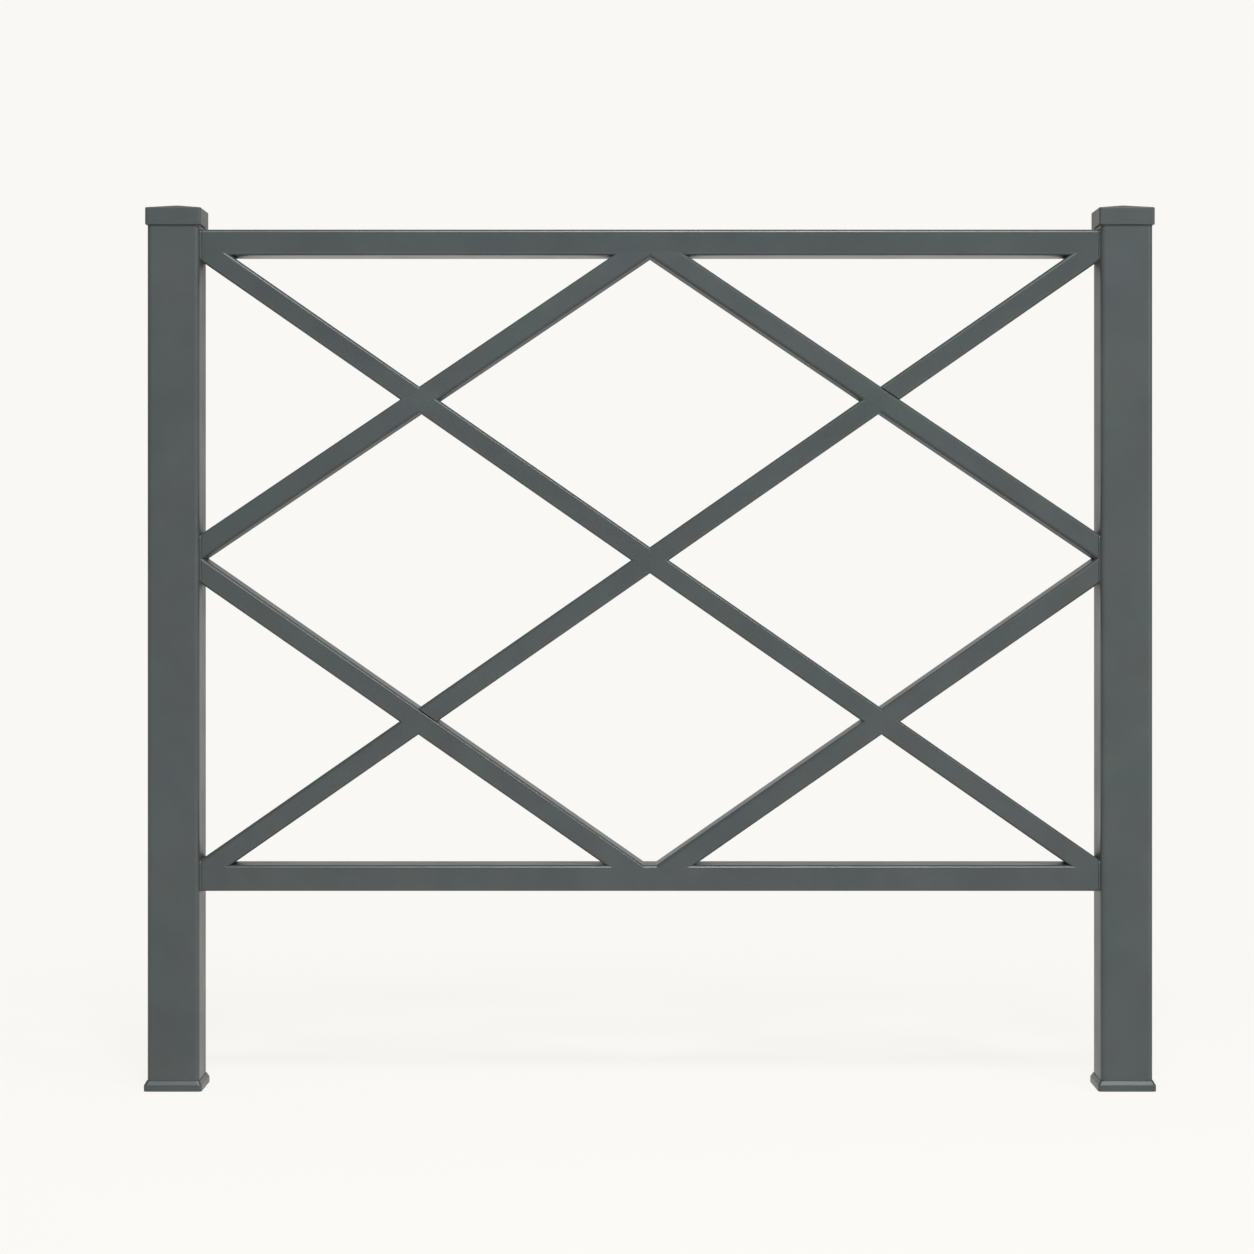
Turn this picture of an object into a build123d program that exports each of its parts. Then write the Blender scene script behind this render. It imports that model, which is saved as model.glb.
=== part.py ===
from build123d import *
from math import atan2, degrees
import os

# Street barrier: two square posts with caps and feet, two rails between them and a rhombus lattice crossed
# by two diagonals. All sizes are in millimetres. X runs along the barrier to the right post, Y away from the
# viewer, Z up. The origin is the middle of the left foot's underside.

# Posts: square tube, rounded outside by twice its wall
post_spacing = 1100.0
post_side = 60.0
post_wall = 3.0
post_corner = 2 * post_wall
post_above_rail = 22.0

# Feet: square plates with a rounded bevel, tapped in the middle for a ground stud
foot_margin = 3.5
foot_band = 7.7
foot_bevel = 4.1
foot_ledge = 0.8
foot_corner = 3.5
foot_edge_round = 1.2
stud_hole_radius = 5.1

# Caps: low pyramids with a skirt that slips over the post
cap_clearance = 0.25
cap_wall = 2.0
cap_skirt = 17.0
cap_plate = 3.0
cap_rise = 5.0
cap_peak_side = 4.0
cap_corner = 3.5
cap_chamfer = 1.0

# Rails and lattice bars: rectangular tube, all as deep as the rails and rounded by twice the wall
panel_depth = 50.0
rail_height = 30.0
ground_gap = 230.0
opening_height = 704.5
bar_face = 25.0
tube_wall = 2.0
tube_corner = 2 * tube_wall

# How far past the edges of the opening the bars' centre lines meet, and how far above its middle at the sides
top_point_depth = 13.8
bottom_point_depth = 20.5
side_point_depth = 18.1
side_point_lift = 2.0
diagonal_side_depth = 9.7
diagonal_rail_depth = 16.5

# The opening that the posts and rails leave for the lattice
opening_left = post_side / 2
opening_right = post_spacing - post_side / 2
opening_bottom = ground_gap + rail_height
opening_top = opening_bottom + opening_height
middle_x = post_spacing / 2
side_z = opening_bottom + opening_height / 2 + side_point_lift

# Heights that stack up from the ground
foot_height = foot_band + foot_bevel
post_top = opening_top + rail_height + post_above_rail
cap_top = post_top + cap_plate

# Widths that follow the post
foot_side = post_side + 2 * foot_margin
foot_top_side = post_side + 2 * foot_ledge
cavity_side = post_side + 2 * cap_clearance
cap_side = cavity_side + 2 * cap_wall
roof_side = cap_side - 2 * cap_chamfer
roof_taper = degrees(atan2((roof_side - cap_peak_side) / 2, cap_rise))

# Where the centre lines of the rhombus bars meet
top_point = Vector(middle_x, 0, opening_top + top_point_depth)
bottom_point = Vector(middle_x, 0, opening_bottom - bottom_point_depth)
left_point = Vector(opening_left - side_point_depth, 0, side_z)
right_point = Vector(opening_right + side_point_depth, 0, side_z)

# The corners that the diagonals aim at
diagonal_left = opening_left - diagonal_side_depth
diagonal_right = opening_right + diagonal_side_depth
diagonal_low = opening_bottom - diagonal_rail_depth
diagonal_high = opening_top + diagonal_rail_depth


def square(side, corner):
    """A square face with rounded corners."""
    return RectangleRounded(side, side, corner)


def rectangular_tube(start, end, width):
    """A hollow tube from start to end, width across its face and as deep as the panel."""
    path = end - start
    place = Plane(origin=start, x_dir=(0, 1, 0), z_dir=path)
    outside = RectangleRounded(panel_depth, width, tube_corner)
    inside = offset(outside, -tube_wall)
    return extrude(place * (outside - inside), path.length)


def lengthened(start, end):
    """The two ends moved apart by a post's width each, so that a bar can be trimmed to its neighbours."""
    extra = (end - start).normalized() * post_side
    return start - extra, end + extra


def bar_tube(start, end):
    """A lattice bar's tube before it is trimmed."""
    return rectangular_tube(*lengthened(start, end), bar_face)


def bar_cut(start, end):
    """The space that a lattice bar takes out of a bar that stops against it."""
    first, last = lengthened(start, end)
    place = Plane(origin=first, x_dir=(0, 1, 0), z_dir=last - first)
    return extrude(place * Rectangle(2 * panel_depth, bar_face), (last - first).length)


def region(left, right, low, high):
    """A block that spans part of the opening, deeper than the panel."""
    centre = Pos((left + right) / 2, 0, (low + high) / 2)
    return centre * Box(right - left, 2 * panel_depth, high - low)


def post(x):
    """A square tube from the foot's top to the underside of the cap's plate."""
    outside = square(post_side, post_corner)
    inside = offset(outside, -post_wall)
    return extrude(Pos(x, 0, foot_height) * (outside - inside), post_top - foot_height)


def foot(x):
    """A plate with a vertical band, a sloping shoulder up to the post, and a tapped hole."""
    band = extrude(square(foot_side, foot_corner), foot_band)
    shoulder = loft(
        [
            Pos(0, 0, foot_band) * square(foot_side, foot_corner),
            Pos(0, 0, foot_height) * square(foot_top_side, foot_corner),
        ]
    )
    plate = band + shoulder
    ring = plate.edges().filter_by_position(Axis.Z, foot_band, foot_band)
    plate = fillet(ring, foot_edge_round)
    hole = Cylinder(stud_hole_radius, foot_height, align=(Align.CENTER, Align.CENTER, Align.MIN))
    return Pos(x, 0, 0) * (plate - hole)


def cap(x):
    """A chamfered skirt over the post's end, closed by a plate with a low pyramid on it."""
    low = post_top - cap_skirt
    body = extrude(Pos(0, 0, low) * square(cap_side, cap_corner), cap_top - low)
    rims = body.edges().group_by(Axis.Z)
    body = chamfer(rims[0] + rims[-1], cap_chamfer)
    pyramid = extrude(Pos(0, 0, cap_top) * Rectangle(roof_side, roof_side), cap_rise, taper=roof_taper)
    inside_rim = extrude(Pos(0, 0, cap_top) * square(roof_side, cap_corner - cap_chamfer), cap_rise)
    cavity = extrude(Pos(0, 0, low) * square(cavity_side, post_corner + cap_clearance), cap_skirt)
    return Pos(x, 0, 0) * (body + (pyramid & inside_rim) - cavity)


def rail(low):
    """A tube between the posts' inner faces."""
    height = low + rail_height / 2
    start = Vector(opening_left, 0, height)
    end = Vector(opening_right, 0, height)
    return rectangular_tube(start, end, rail_height)


# The four sides of the rhombus: each runs through in one length inside its quarter of the opening
rhombus = {
    "upper_left_bar": (left_point, top_point),
    "upper_right_bar": (top_point, right_point),
    "lower_left_bar": (left_point, bottom_point),
    "lower_right_bar": (bottom_point, right_point),
}
quarters = {
    "upper_left_bar": region(opening_left, middle_x, side_z, opening_top),
    "upper_right_bar": region(middle_x, opening_right, side_z, opening_top),
    "lower_left_bar": region(opening_left, middle_x, opening_bottom, side_z),
    "lower_right_bar": region(middle_x, opening_right, opening_bottom, side_z),
}

# The two diagonals: the falling one also stops against the rising one at the centre
rising = (Vector(diagonal_left, 0, diagonal_low), Vector(diagonal_right, 0, diagonal_high))
falling = (Vector(diagonal_left, 0, diagonal_high), Vector(diagonal_right, 0, diagonal_low))
opening = region(opening_left, opening_right, opening_bottom, opening_top)


def diagonal_pieces(ends, stops):
    """A diagonal trimmed to the opening and parted by the bars that it stops against, left to right."""
    whole = bar_tube(*ends) & opening
    for stop in stops:
        whole = whole - bar_cut(*stop)
    return whole.solids().sort_by(Axis.X)


parts = {
    "left_post": post(0),
    "right_post": post(post_spacing),
    "left_post_cap": cap(0),
    "right_post_cap": cap(post_spacing),
    "left_foot": foot(0),
    "right_foot": foot(post_spacing),
    "top_rail": rail(opening_top),
    "bottom_rail": rail(ground_gap),
}
for name, ends in rhombus.items():
    parts[name] = bar_tube(*ends) & quarters[name]

rising_names = ("rising_diagonal_bottom", "rising_diagonal_middle", "rising_diagonal_top")
rising_stops = (rhombus["lower_left_bar"], rhombus["upper_right_bar"])
parts.update(zip(rising_names, diagonal_pieces(rising, rising_stops), strict=True))

falling_names = (
    "falling_diagonal_top",
    "falling_diagonal_upper",
    "falling_diagonal_lower",
    "falling_diagonal_bottom",
)
falling_stops = (rhombus["upper_left_bar"], rising, rhombus["lower_right_bar"])
parts.update(zip(falling_names, diagonal_pieces(falling, falling_stops), strict=True))

os.makedirs("parts", exist_ok=True)
for name, shape in parts.items():
    export_step(shape, f"parts/{name}.step")
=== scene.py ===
import bpy
import numpy as np
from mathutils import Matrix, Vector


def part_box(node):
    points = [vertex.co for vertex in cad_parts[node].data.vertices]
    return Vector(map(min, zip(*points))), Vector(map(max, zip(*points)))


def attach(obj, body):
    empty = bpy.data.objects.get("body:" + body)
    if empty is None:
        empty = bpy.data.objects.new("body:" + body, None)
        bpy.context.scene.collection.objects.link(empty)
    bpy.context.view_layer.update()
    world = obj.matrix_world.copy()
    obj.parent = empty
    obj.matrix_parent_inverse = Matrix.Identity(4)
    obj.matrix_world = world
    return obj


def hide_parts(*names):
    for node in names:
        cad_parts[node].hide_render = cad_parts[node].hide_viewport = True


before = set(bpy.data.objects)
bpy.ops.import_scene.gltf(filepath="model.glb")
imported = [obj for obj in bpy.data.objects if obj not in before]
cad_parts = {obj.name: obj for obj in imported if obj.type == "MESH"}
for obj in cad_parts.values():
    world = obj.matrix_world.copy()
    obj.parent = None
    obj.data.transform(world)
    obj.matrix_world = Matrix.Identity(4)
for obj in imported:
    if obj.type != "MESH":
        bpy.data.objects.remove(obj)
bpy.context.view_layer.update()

# A street barrier of painted steel tube. Everything is in metres in the part's own frame: X to the right
# post, Y away from the viewer, Z up.

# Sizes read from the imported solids
top_rail_low, top_rail_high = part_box("top_rail")
bottom_rail_low, bottom_rail_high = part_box("bottom_rail")
cap_low, cap_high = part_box("left_post_cap")
post_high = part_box("left_post")[1]
foot_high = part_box("left_foot")[1]
opening_left = top_rail_low.x
opening_right = top_rail_high.x
opening_bottom = bottom_rail_high.z
opening_top = top_rail_low.z
panel_half_depth = top_rail_high.y
rail_face = top_rail_high.z - top_rail_low.z
middle_x = (opening_left + opening_right) / 2
post_half = post_high.x
right_post_x = 2 * middle_x

# Sizes of the lattice that the solids' boxes don't give: the bars' section, how far past the opening's
# edges their centre lines end, and how far above its middle the rhombus has its side points
bar_face = 0.025
tube_round = 0.004
top_point_depth = 0.0138
bottom_point_depth = 0.0205
side_point_depth = 0.0181
side_point_lift = 0.0020
diagonal_side_depth = 0.0097
diagonal_rail_depth = 0.0165

# The rhombus's points and the diagonals' ends, along X and Z
side_z = (opening_bottom + opening_top) / 2 + side_point_lift
top_point = np.array([middle_x, opening_top + top_point_depth])
bottom_point = np.array([middle_x, opening_bottom - bottom_point_depth])
left_point = np.array([opening_left - side_point_depth, side_z])
right_point = np.array([opening_right + side_point_depth, side_z])
rising_low = np.array([opening_left - diagonal_side_depth, opening_bottom - diagonal_rail_depth])
rising_high = np.array([opening_right + diagonal_side_depth, opening_top + diagonal_rail_depth])
falling_high = np.array([opening_left - diagonal_side_depth, opening_top + diagonal_rail_depth])
falling_low = np.array([opening_right + diagonal_side_depth, opening_bottom - diagonal_rail_depth])

# Sizes of the caps and feet
post_corner = 0.006
cap_corner = 0.0035
cap_clearance = 0.00025
cap_wall = 0.002
cap_plate = 0.003
cap_rise = 0.005
cap_peak_half = 0.002
cap_peak_corner = 0.0008
cap_hem_round = 0.0008
cap_top_round = 0.0014
foot_corner = 0.0035
foot_band = 0.0077
foot_ledge = 0.0008
foot_hole_radius = 0.0051
foot_edge_round = 0.0012
foot_sole_round = 0.0006

# Sizes of the welds round the panel's ends: their radius, how far they stand out over the tubes, and how
# far their middle lies from the post's side
weld_radius = 0.0015
weld_proud = 0.0006
weld_offset = 0.0006

# Steps in a quarter turn of each kind of round, the degrees between a weld's rows, and the turn from which
# an edge counts as sharp
corner_steps = 10
end_steps = 8
hem_steps = 5
cap_top_steps = 6
sole_steps = 4
weld_step = 20
sharp_angle = np.radians(40)

# The span of a noise that its patches use
noise_low, noise_high = 0.3, 0.7


# Materials

def place(tree, kind, inputs=None, **settings):
    """One shader node with its settings made and its inputs filled, each from a value or from another
    node's output."""
    node = tree.nodes.new(kind)
    for name, value in settings.items():
        setattr(node, name, value)
    for name, value in (inputs or {}).items():
        if isinstance(value, bpy.types.NodeSocket):
            tree.links.new(value, node.inputs[name])
        else:
            node.inputs[name].default_value = value
    return node


def new_group(name, inputs, outputs):
    """An empty node group with named sockets, and its input and output nodes."""
    group = bpy.data.node_groups.new(name, "ShaderNodeTree")
    for socket, value in inputs.items():
        kind = "NodeSocketColor" if isinstance(value, tuple) else "NodeSocketFloat"
        group.interface.new_socket(socket, in_out="INPUT", socket_type=kind).default_value = value
    for socket, kind in outputs.items():
        group.interface.new_socket(socket, in_out="OUTPUT", socket_type=kind)
    return group, group.nodes.new("NodeGroupInput"), group.nodes.new("NodeGroupOutput")


def powder_mottle_group():
    """Colour of sprayed powder. Broad soft noise makes patches that are lighter or darker by the tone
    shift, and the other channels of the same noise turn the hue and move it towards grey and back."""
    group, given, out = new_group(
        "powder_mottle",
        {"Colour": (0.05, 0.06, 0.06, 1.0), "Patch Size": 0.06, "Tone Shift": 0.08, "Hue Shift": 0.04,
         "Grey Shift": 0.25},
        {"Colour": "NodeSocketColor", "Patches": "NodeSocketFloat"},
    )
    where = place(group, "ShaderNodeTexCoord").outputs["Object"]
    scale = place(group, "ShaderNodeMath", {0: 1.0, 1: given.outputs["Patch Size"]}, operation="DIVIDE")
    noise = place(group, "ShaderNodeTexNoise",
                  {"Vector": where, "Scale": scale.outputs[0], "Detail": 3.0, "Roughness": 0.55})
    split = place(group, "ShaderNodeSeparateColor", {"Color": noise.outputs["Color"]})
    shifts = []
    for channel, middle, amount in (("Red", 1.0, "Tone Shift"), ("Blue", 0.5, "Hue Shift"),
                                    ("Green", 1.0, "Grey Shift")):
        low = place(group, "ShaderNodeMath", {0: middle, 1: given.outputs[amount]}, operation="SUBTRACT")
        high = place(group, "ShaderNodeMath", {0: middle, 1: given.outputs[amount]}, operation="ADD")
        spread = place(group, "ShaderNodeMapRange", {
            "Value": split.outputs[channel], "From Min": noise_low, "From Max": noise_high,
            "To Min": low.outputs[0], "To Max": high.outputs[0]})
        shifts.append(spread.outputs[0])
    turned = place(group, "ShaderNodeHueSaturation",
                   {"Hue": shifts[1], "Saturation": shifts[2], "Value": shifts[0],
                    "Color": given.outputs["Colour"]})
    group.links.new(turned.outputs["Color"], out.inputs["Colour"])
    group.links.new(split.outputs["Green"], out.inputs["Patches"])
    return group


def orange_peel_group():
    """Height of sprayed and baked powder: soft dimples, from one noise of the dimple size."""
    group, given, out = new_group("orange_peel", {"Dimple Size": 0.0025}, {"Height": "NodeSocketFloat"})
    where = place(group, "ShaderNodeTexCoord").outputs["Object"]
    scale = place(group, "ShaderNodeMath", {0: 1.0, 1: given.outputs["Dimple Size"]}, operation="DIVIDE")
    noise = place(group, "ShaderNodeTexNoise",
                  {"Vector": where, "Scale": scale.outputs[0], "Detail": 1.5, "Roughness": 0.4})
    group.links.new(noise.outputs["Fac"], out.inputs["Height"])
    return group


powder_mottle = powder_mottle_group()
orange_peel = orange_peel_group()


def powder_coat(name, colour, roughness, gloss=0.5, roughness_shift=0.03):
    """Satin powder coat: a dark grey-green under a soft gloss, faintly mottled, with orange peel. The gloss
    says how strongly it mirrors, and the roughness goes up and down by its shift with the mottle's
    patches."""
    material = bpy.data.materials.new(name)
    material.use_nodes = True
    tree = material.node_tree
    tree.nodes.clear()
    mottle = place(tree, "ShaderNodeGroup", {"Colour": (*colour, 1.0)}, node_tree=powder_mottle)
    dullness = place(tree, "ShaderNodeMapRange", {
        "Value": mottle.outputs["Patches"], "From Min": noise_low, "From Max": noise_high,
        "To Min": roughness - roughness_shift, "To Max": roughness + roughness_shift})
    peel = place(tree, "ShaderNodeGroup", node_tree=orange_peel)
    bump = place(tree, "ShaderNodeBump",
                 {"Strength": 0.05, "Distance": 0.0001, "Height": peel.outputs["Height"]})
    coat = place(tree, "ShaderNodeBsdfPrincipled", {
        "Base Color": mottle.outputs["Colour"], "Roughness": dullness.outputs[0],
        "Normal": bump.outputs["Normal"], "Specular IOR Level": gloss})
    place(tree, "ShaderNodeOutputMaterial", {"Surface": coat.outputs["BSDF"]})
    return material


panel_coat = powder_coat("panel_coat", (0.0490, 0.0590, 0.0610), 0.33)
matt_coat = powder_coat("matt_coat", (0.0500, 0.0605, 0.0625), 0.58, gloss=0.27)
post_coat = powder_coat("post_coat", (0.0500, 0.0605, 0.0625), 0.41)


# Surfaces

def closed_piece(name, points, faces, material, node=None):
    """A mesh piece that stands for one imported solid, or for none: smooth on its arcs, while normals
    weighted by area keep its flat faces flat."""
    mesh = bpy.data.meshes.new(name)
    mesh.from_pydata(points.tolist(), [], faces)
    mesh.shade_smooth()
    mesh.set_sharp_from_angle(angle=sharp_angle)
    mesh.materials.append(material)
    piece = bpy.data.objects.new(name, mesh)
    bpy.context.scene.collection.objects.link(piece)
    weighted = piece.modifiers.new("weighted_normals", "WEIGHTED_NORMAL")
    weighted.mode = "FACE_AREA"
    weighted.keep_sharp = True
    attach(piece, "root")
    if node:
        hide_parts(node)
    return piece


def ring_quads(rows, columns, wrap=False):
    """Point numbers of the faces between neighbouring rows, where each row's columns close into a ring.
    With wrap, the last row also joins the first."""
    row, column = np.meshgrid(np.arange(rows if wrap else rows - 1), np.arange(columns), indexing="ij")
    below = row * columns
    above = (row + 1) % rows * columns
    after = (column + 1) % columns
    corners = [below + column, below + after, above + after, above + column]
    return np.stack(corners, -1).reshape(-1, 4).tolist()


def pole_fans(rows, columns):
    """Triangles that close a stack of rings at both ends, to two poles that follow its points."""
    here = np.arange(columns)
    after = (here + 1) % columns
    pole = np.full(columns, rows * columns)
    last = (rows - 1) * columns
    first_fan = np.stack([after, here, pole], -1)
    last_fan = np.stack([last + here, last + after, pole + 1], -1)
    return first_fan.tolist() + last_fan.tolist()


def rounded_outline(half_a, half_b, corner, steps, stops=()):
    """A rectangle's outline with round corners, one row for each of the given sizes. A corner's points
    are its centre plus its radius times the cosine and sine of an angle that runs a quarter turn, and the
    stops are points at that a on both of the sides that run along a."""
    sizes = np.broadcast_arrays(half_a, half_b, corner)
    half_a, half_b, corner = (np.asarray(size, float)[:, None] for size in sizes)
    angle = np.radians(np.linspace(0, 90, steps + 1))
    stops = np.sort(np.asarray(stops, float))[None] * np.ones_like(half_a)
    a, b = [], []
    for quarter, (side_a, side_b) in enumerate(((1, 1), (-1, 1), (-1, -1), (1, -1))):
        turned = angle + np.radians(90 * quarter)
        a.append(side_a * (half_a - corner) + corner * np.cos(turned))
        b.append(side_b * (half_b - corner) + corner * np.sin(turned))
        if quarter == 0:
            a.append(stops[:, ::-1])
            b.append(half_b + 0 * stops)
        if quarter == 2:
            a.append(stops)
            b.append(0 * stops - half_b)
    return np.concatenate(a, 1), np.concatenate(b, 1)


def welded(points, faces):
    """The same surface with points that fall together made one. A face keeps its different points, and goes
    where fewer than three are left."""
    points, same = np.unique(np.round(points, 7), axis=0, return_inverse=True)
    same = same.reshape(-1).tolist()
    faces = [list(dict.fromkeys(same[point] for point in face)) for face in faces]
    return points, [face for face in faces if len(face) > 2]


def arc(start, end, centre, steps):
    """Points on a circle's arc from start to end round the centre: the two spokes weighted by the sines
    of the angles that are left and passed, over the sine of the whole angle."""
    start, end, centre = (np.array(point, float) for point in (start, end, centre))
    first, last = start - centre, end - centre
    whole = np.arccos(np.clip(first @ last / np.linalg.norm(first) / np.linalg.norm(last), -1, 1))
    share = np.linspace(0, 1, steps + 1)[:, None]
    return centre + (np.sin((1 - share) * whole) * first + np.sin(share * whole) * last) / np.sin(whole)


def square_stack(name, node, centre_x, profile, corners, material, wrap):
    """Square rings with round corners, stacked along a profile of half sides and heights. It closes to a
    pole at both ends, or with wrap it joins the last ring to the first."""
    profile = np.asarray(profile, float)
    a, b = rounded_outline(profile[:, 0], profile[:, 0], corners, corner_steps)
    rings = np.stack([centre_x + a, b, np.repeat(profile[:, 1:], a.shape[1], 1)], -1)
    rows, columns = a.shape
    points, faces = rings.reshape(-1, 3), ring_quads(rows, columns, wrap)
    if not wrap:
        poles = [[centre_x, 0, profile[0, 1]], [centre_x, 0, profile[-1, 1]]]
        points, faces = np.concatenate([points, poles]), faces + pole_fans(rows, columns)
    return closed_piece(name, *welded(points, faces), material, node)


def cut_depth(below):
    """How far a tube's round edge has fallen back from its side, at a depth below its front: the radius
    less the root of the radius squared less the rest of the depth squared, and nothing deeper than the
    radius."""
    rest = np.clip(tube_round - below, 0, tube_round)
    return tube_round - np.sqrt(np.maximum(tube_round ** 2 - rest ** 2, 0))


def crossings(cuts, start, path, across):
    """Where on a tube's face two cuts of one end cross, from the lines' distances along the path: each is a
    constant less a slope times the place across the face."""
    lines = []
    for normal, offset, _ in cuts:
        ahead = path @ normal
        lines.append(((offset - start @ normal) / ahead, (across @ normal) / ahead, ahead > 0))
    places = []
    for number, (here, slope, end) in enumerate(lines):
        for other, other_slope, other_end in lines[number + 1:]:
            if end == other_end and abs(slope - other_slope) > 1e-9:
                places.append((here - other) / (slope - other_slope))
    return np.array(places)


def tube_piece(node, start, end, face, cuts, coat):
    """A bar or rail from a line between two points of the panel, as a rounded rectangle carried along it
    and cut at both ends. Each end is a set of rings: at angle t the outline is clipped in depth by the
    round's radius times one less cosine t, and a round cut stands back by the radius times one less sine
    t. A cut is the outward normal of its line, how far along that normal the line lies, and its kind:
    plain, round against a post, or flush, which runs on over the round edge of the tube that it meets as
    a weld ground flat does. The outline has more points near where two cuts of one end cross."""
    path = (end - start) / np.linalg.norm(end - start)
    across = np.array([path[1], -path[0]])
    cuts = [(np.array(normal, float), offset, kind) for normal, offset, kind in cuts]
    flat = face / 2 - tube_round
    near = tube_round * np.linspace(-1.5, 1.5, 13)
    stops = (crossings(cuts, start, path, across)[:, None] + near).ravel()
    stops = stops[np.abs(stops) < flat]
    side, depth = rounded_outline([face / 2], [panel_half_depth], [tube_round], corner_steps, stops)
    turn = np.radians(np.linspace(0, 90, end_steps + 1))[:, None]
    reach_out = panel_half_depth - tube_round * (1 - np.cos(turn))
    depth = np.clip(depth, -reach_out, reach_out)
    side = side + 0 * depth
    below = panel_half_depth - np.abs(depth)
    back = tube_round * (1 - np.sin(turn)) + 0 * depth
    reach = {-1: [], 1: []}
    for normal, offset, kind in cuts:
        limit = offset + {"plain": 0 * depth, "round": -back, "flush": cut_depth(below)}[kind]
        along = (limit - (start @ normal + side * (across @ normal))) / (path @ normal)
        reach[int(np.sign(path @ normal))].append(along)
    first = np.max(reach[-1], axis=0)[::-1]
    last = np.min(reach[1], axis=0)
    side, depth = np.concatenate([side[::-1], side]), np.concatenate([depth[::-1], depth])
    along = np.concatenate([first, last])
    rings = np.stack([start[0] + along * path[0] + side * across[0], depth,
                      start[1] + along * path[1] + side * across[1]], -1)
    rows, columns = along.shape
    points = np.concatenate([rings.reshape(-1, 3), rings[0].mean(0)[None], rings[-1].mean(0)[None]])
    faces = ring_quads(rows, columns) + pole_fans(rows, columns)
    return closed_piece("painted_" + node, *welded(points, faces), coat, node)


# Rails and lattice

left_cut = ((-1, 0), -opening_left, "round")
right_cut = ((1, 0), opening_right, "round")
top_cut = ((0, 1), opening_top, "flush")
bottom_cut = ((0, -1), -opening_bottom, "flush")


def side_cut(start, end, upper, kind):
    """The cut along the upper or lower side of the bar between two points, seen from outside that side."""
    path = (end - start) / np.linalg.norm(end - start)
    normal = np.array([path[1], -path[0]]) * np.sign(path[0])
    if not upper:
        normal = -normal
    return normal, start @ normal - bar_face / 2, kind


for node, height in (
    ("top_rail", opening_top + rail_face / 2),
    ("bottom_rail", opening_bottom - rail_face / 2),
):
    tube_piece(node, np.array([opening_left, height]), np.array([opening_right, height]), rail_face,
               (left_cut, right_cut), panel_coat)

tube_piece("upper_left_bar", left_point, top_point, bar_face,
           (left_cut, ((0, -1), -side_z, "plain"), top_cut, ((1, 0), middle_x, "plain")), matt_coat)
tube_piece("upper_right_bar", top_point, right_point, bar_face,
           (right_cut, ((0, -1), -side_z, "plain"), top_cut, ((-1, 0), -middle_x, "plain")), matt_coat)
tube_piece("lower_left_bar", left_point, bottom_point, bar_face,
           (left_cut, ((0, 1), side_z, "plain"), bottom_cut, ((1, 0), middle_x, "plain")), panel_coat)
tube_piece("lower_right_bar", bottom_point, right_point, bar_face,
           (right_cut, ((0, 1), side_z, "plain"), bottom_cut, ((-1, 0), -middle_x, "plain")), panel_coat)

upper_left, upper_right = (left_point, top_point), (top_point, right_point)
lower_left, lower_right = (left_point, bottom_point), (bottom_point, right_point)
rising, falling = (rising_low, rising_high), (falling_high, falling_low)

for node, line, cuts in (
    ("rising_diagonal_bottom", rising, (left_cut, bottom_cut, side_cut(*lower_left, False, "flush"))),
    ("rising_diagonal_middle", rising,
     (side_cut(*lower_left, True, "plain"), side_cut(*upper_right, False, "flush"))),
    ("rising_diagonal_top", rising, (side_cut(*upper_right, True, "plain"), top_cut, right_cut)),
    ("falling_diagonal_top", falling, (left_cut, top_cut, side_cut(*upper_left, True, "flush"))),
    ("falling_diagonal_upper", falling,
     (side_cut(*upper_left, False, "flush"), side_cut(*rising, True, "flush"))),
    ("falling_diagonal_lower", falling,
     (side_cut(*rising, False, "flush"), side_cut(*lower_right, True, "flush"))),
    ("falling_diagonal_bottom", falling, (side_cut(*lower_right, False, "flush"), bottom_cut, right_cut)),
):
    tube_piece(node, *line, bar_face, cuts, panel_coat)


# Welds between the panel and the posts

def weld_bead(name, side, low, high):
    """A bead round one joint in a post's side, from low to high. It is a stack of rectangles with round
    corners that closes on itself: at angle t each lies further out by the radius times cosine t and
    further back along X by the radius times sine t."""
    turn = np.radians(np.arange(0, 360, weld_step))
    out = weld_radius * np.cos(turn) - (weld_radius - weld_proud)
    a, b = rounded_outline((high - low) / 2 + out, panel_half_depth + out, tube_round + out, end_steps)
    plane = opening_left + weld_offset if side == "left" else opening_right - weld_offset
    x = plane - weld_radius * np.sin(turn)[:, None] + 0 * a
    points = np.stack([x, b, (low + high) / 2 + a], -1).reshape(-1, 3)
    return closed_piece(name, *welded(points, ring_quads(*a.shape, True)), panel_coat)


def reach_at_post(start, end, sign):
    """Height at which a bar's upper or lower side meets the left post's side."""
    slope = (end[1] - start[1]) / (end[0] - start[0])
    return start[1] + (opening_left - start[0]) * slope + sign * bar_face / 2 * np.sqrt(1 + slope ** 2)


for side in ("left", "right"):
    weld_bead(f"weld_{side}_top", side, reach_at_post(*falling, -1), top_rail_high.z)
    weld_bead(f"weld_{side}_middle", side, reach_at_post(*lower_left, -1), reach_at_post(*upper_left, 1))
    weld_bead(f"weld_{side}_bottom", side, bottom_rail_low.z, reach_at_post(*rising, 1))


# Posts, caps and feet

for node in ("left_post", "right_post"):
    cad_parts[node].data.materials.clear()
    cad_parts[node].data.materials.append(post_coat)

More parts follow.
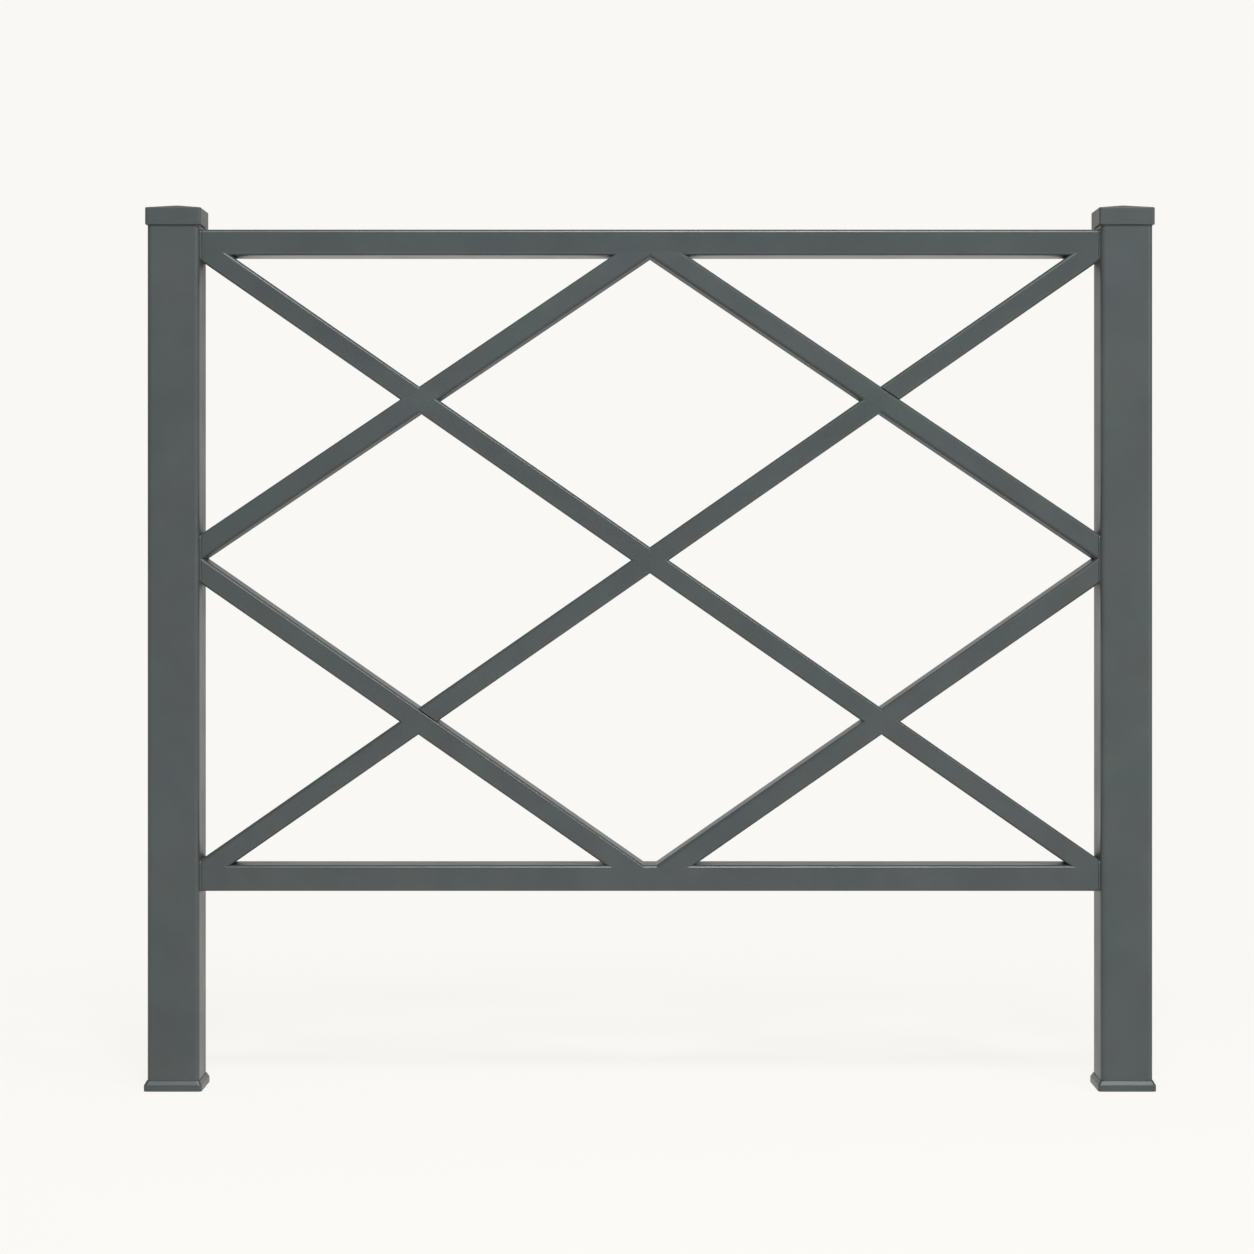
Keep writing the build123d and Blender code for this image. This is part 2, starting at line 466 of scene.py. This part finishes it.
skirt_half, post_top = cap_high.x, post_high.z
cap_bottom, cap_rim = cap_low.z, post_high.z + cap_plate
cavity_half = skirt_half - cap_wall
cap_profile = np.concatenate([
    [(cavity_half, post_top), (cavity_half, cap_bottom)],
    arc((skirt_half - cap_hem_round, cap_bottom), (skirt_half, cap_bottom + cap_hem_round),
        (skirt_half - cap_hem_round, cap_bottom + cap_hem_round), hem_steps),
    arc((skirt_half, cap_rim - cap_top_round), (skirt_half - cap_top_round, cap_rim),
        (skirt_half - cap_top_round, cap_rim - cap_top_round), cap_top_steps),
    [(cap_peak_half, cap_rim + cap_rise)],
])
cap_corners = np.concatenate([
    [post_corner + cap_clearance] * 2,
    cap_corner - (skirt_half - cap_profile[2:-1, 0]),
    [cap_peak_corner],
])

foot_half, foot_top = foot_high.x, foot_high.z
foot_top_half = post_half + foot_ledge
foot_profile = np.concatenate([
    [(foot_hole_radius, foot_top), (foot_hole_radius, 0)],
    arc((foot_half - foot_sole_round, 0), (foot_half, foot_sole_round),
        (foot_half - foot_sole_round, foot_sole_round), sole_steps),
    [(foot_half, foot_band - foot_edge_round), (foot_half - foot_edge_round / 3, foot_band),
     (foot_half - foot_edge_round, foot_band + foot_edge_round), (foot_top_half, foot_top)],
])
foot_corners = np.concatenate([[foot_hole_radius] * 2, [foot_corner] * (len(foot_profile) - 2)])

for side, centre_x in (("left", 0.0), ("right", right_post_x)):
    square_stack(f"painted_{side}_cap", f"{side}_post_cap", centre_x, cap_profile, cap_corners,
                 post_coat, False)
    square_stack(f"painted_{side}_foot", f"{side}_foot", centre_x, foot_profile, foot_corners,
                 post_coat, True)


# Floor, background, light and camera

# The background's colour, and the room's light as shares of it: what matt surfaces get from all round, what
# glossy ones see in front and overhead, and how far back in Y the way to the bright back starts and ends
background = (0.956, 0.939, 0.905)
even_light = 0.37
front_light = 0.12
overhead_light = 0.1
back_start, back_end = 0.1, 0.6

# How far the floor reaches, how much of it is plain background close by, and where it is all background
floor_reach = 30
floor_plain_share = 0.92
floor_fade_start, floor_fade_end = 0.8, 1.6


def ray_kinds(tree):
    """Two masks: one for the rays from the camera, and one for those from a mirror or glass."""
    path = place(tree, "ShaderNodeLightPath").outputs
    mirror = place(tree, "ShaderNodeMath", {0: path["Is Glossy Ray"], 1: path["Is Transmission Ray"]},
                   operation="MAXIMUM")
    return path["Is Camera Ray"], mirror.outputs[0]


def mixed_value(tree, share, low, high):
    """A number that goes from low to high as the share goes from nought to one."""
    return place(tree, "ShaderNodeMapRange", {"Value": share, "To Min": low, "To Max": high}).outputs[0]


def product(tree, first, second):
    """One number times another."""
    return place(tree, "ShaderNodeMath", {0: first, 1: second}, operation="MULTIPLY").outputs[0]


# The studio lights evenly. Glossy surfaces see it bright behind the barrier, darker higher up and in
# front, and the camera sees the plain background.
world = bpy.data.worlds.new("studio")
bpy.context.scene.world = world
world.use_nodes = True
tree = world.node_tree
tree.nodes.clear()
direction = place(tree, "ShaderNodeTexCoord").outputs["Generated"]
aim = place(tree, "ShaderNodeSeparateXYZ", {"Vector": direction}).outputs
behind = place(tree, "ShaderNodeMapRange", {
    "Value": aim["Y"], "From Min": back_start, "From Max": back_end,
    "To Min": front_light, "To Max": 1.0}, interpolation_type="SMOOTHSTEP")
height = place(tree, "ShaderNodeMapRange", {"Value": aim["Z"]})
curve = place(tree, "ShaderNodeMath", {0: height.outputs[0], 1: 0.5}, operation="POWER")
room = product(tree, behind.outputs[0], mixed_value(tree, curve.outputs[0], 1.0, overhead_light))
eye, mirror = ray_kinds(tree)
strength = mixed_value(tree, eye, mixed_value(tree, mirror, even_light, room), 1.0)
shown = place(tree, "ShaderNodeBackground", {"Color": (*background, 1.0), "Strength": strength})
place(tree, "ShaderNodeOutputWorld", {"Surface": shown.outputs[0]})

# The floor takes the object's shadow near it and runs into the background further off
floor_paint = bpy.data.materials.new("floor_paint")
floor_paint.use_nodes = True
tree = floor_paint.node_tree
tree.nodes.clear()
matt = place(tree, "ShaderNodeBsdfDiffuse", {"Color": (*background, 1.0)})
even = place(tree, "ShaderNodeEmission", {"Color": (*background, 1.0), "Strength": 1.0})
here = place(tree, "ShaderNodeTexCoord").outputs["Object"]
far = place(tree, "ShaderNodeVectorMath", {0: here, 1: (middle_x, 0.0, 0.0)}, operation="DISTANCE")
fade = place(tree, "ShaderNodeMapRange", {
    "Value": far.outputs["Value"], "From Min": floor_fade_start, "From Max": floor_fade_end,
    "To Min": floor_plain_share, "To Max": 1.0})
eye, mirror = ray_kinds(tree)
seen = place(tree, "ShaderNodeMath", {0: eye, 1: mirror}, operation="MAXIMUM")
share = product(tree, seen.outputs[0], fade.outputs[0])
mixed = place(tree, "ShaderNodeMixShader", {0: share, 1: matt.outputs[0], 2: even.outputs[0]})
place(tree, "ShaderNodeOutputMaterial", {"Surface": mixed.outputs[0]})

floor_mesh = bpy.data.meshes.new("floor")
floor_corners = [(x * floor_reach, y * floor_reach, 0) for x, y in ((-1, -1), (1, -1), (1, 1), (-1, 1))]
floor_mesh.from_pydata(floor_corners, [], [(0, 1, 2, 3)])
floor_mesh.materials.append(floor_paint)
floor = bpy.data.objects.new("floor", floor_mesh)
bpy.context.scene.collection.objects.link(floor)


def softbox(name, azimuth, elevation, distance, width, height, level):
    """A rectangular lamp that faces the middle of the barrier from a distance. Its azimuth turns from
    straight in front towards the right, and its level is its brightness, where one is white."""
    turn, rise = np.radians([azimuth, elevation])
    towards = Vector((np.sin(turn) * np.cos(rise), -np.cos(turn) * np.cos(rise), np.sin(rise)))
    lamp = bpy.data.lights.new(name, "AREA")
    lamp.shape = "RECTANGLE"
    lamp.size, lamp.size_y = width, height
    lamp.energy = level * np.pi * width * height
    holder = bpy.data.objects.new(name, lamp)
    holder.location = Vector((middle_x, 0.0, side_z)) + distance * towards
    holder.rotation_euler = towards.to_track_quat("Z", "Y").to_euler()
    holder.visible_camera = False
    bpy.context.scene.collection.objects.link(holder)


softbox("key_softbox", azimuth=4, elevation=51, distance=6.2, width=1.55, height=1.55, level=43.0)
softbox("right_softbox", azimuth=38, elevation=42, distance=6.2, width=0.8, height=0.8, level=43.0)
softbox("edge_softbox", azimuth=54, elevation=12, distance=6.0, width=0.7, height=3.6, level=7.0)

# The camera stands where the photo was taken. Its focal length and shifts are in the picture's pixels.
film_width = 36.0
picture_pixels = 1254
focal_pixels = 3025
shift_pixels = (-20, -82)
camera_place = (0.5466, -3.5178, 0.6299)

view = bpy.data.cameras.new("photo_view")
view.sensor_width = film_width
view.lens = film_width * focal_pixels / picture_pixels
view.shift_x = shift_pixels[0] / picture_pixels
view.shift_y = shift_pixels[1] / picture_pixels
camera = bpy.data.objects.new("photo_view", view)
camera.location = camera_place
camera.rotation_euler = (np.radians(90), 0, 0)
bpy.context.scene.collection.objects.link(camera)
bpy.context.scene.camera = camera

bpy.context.scene.view_settings.view_transform = "Standard"
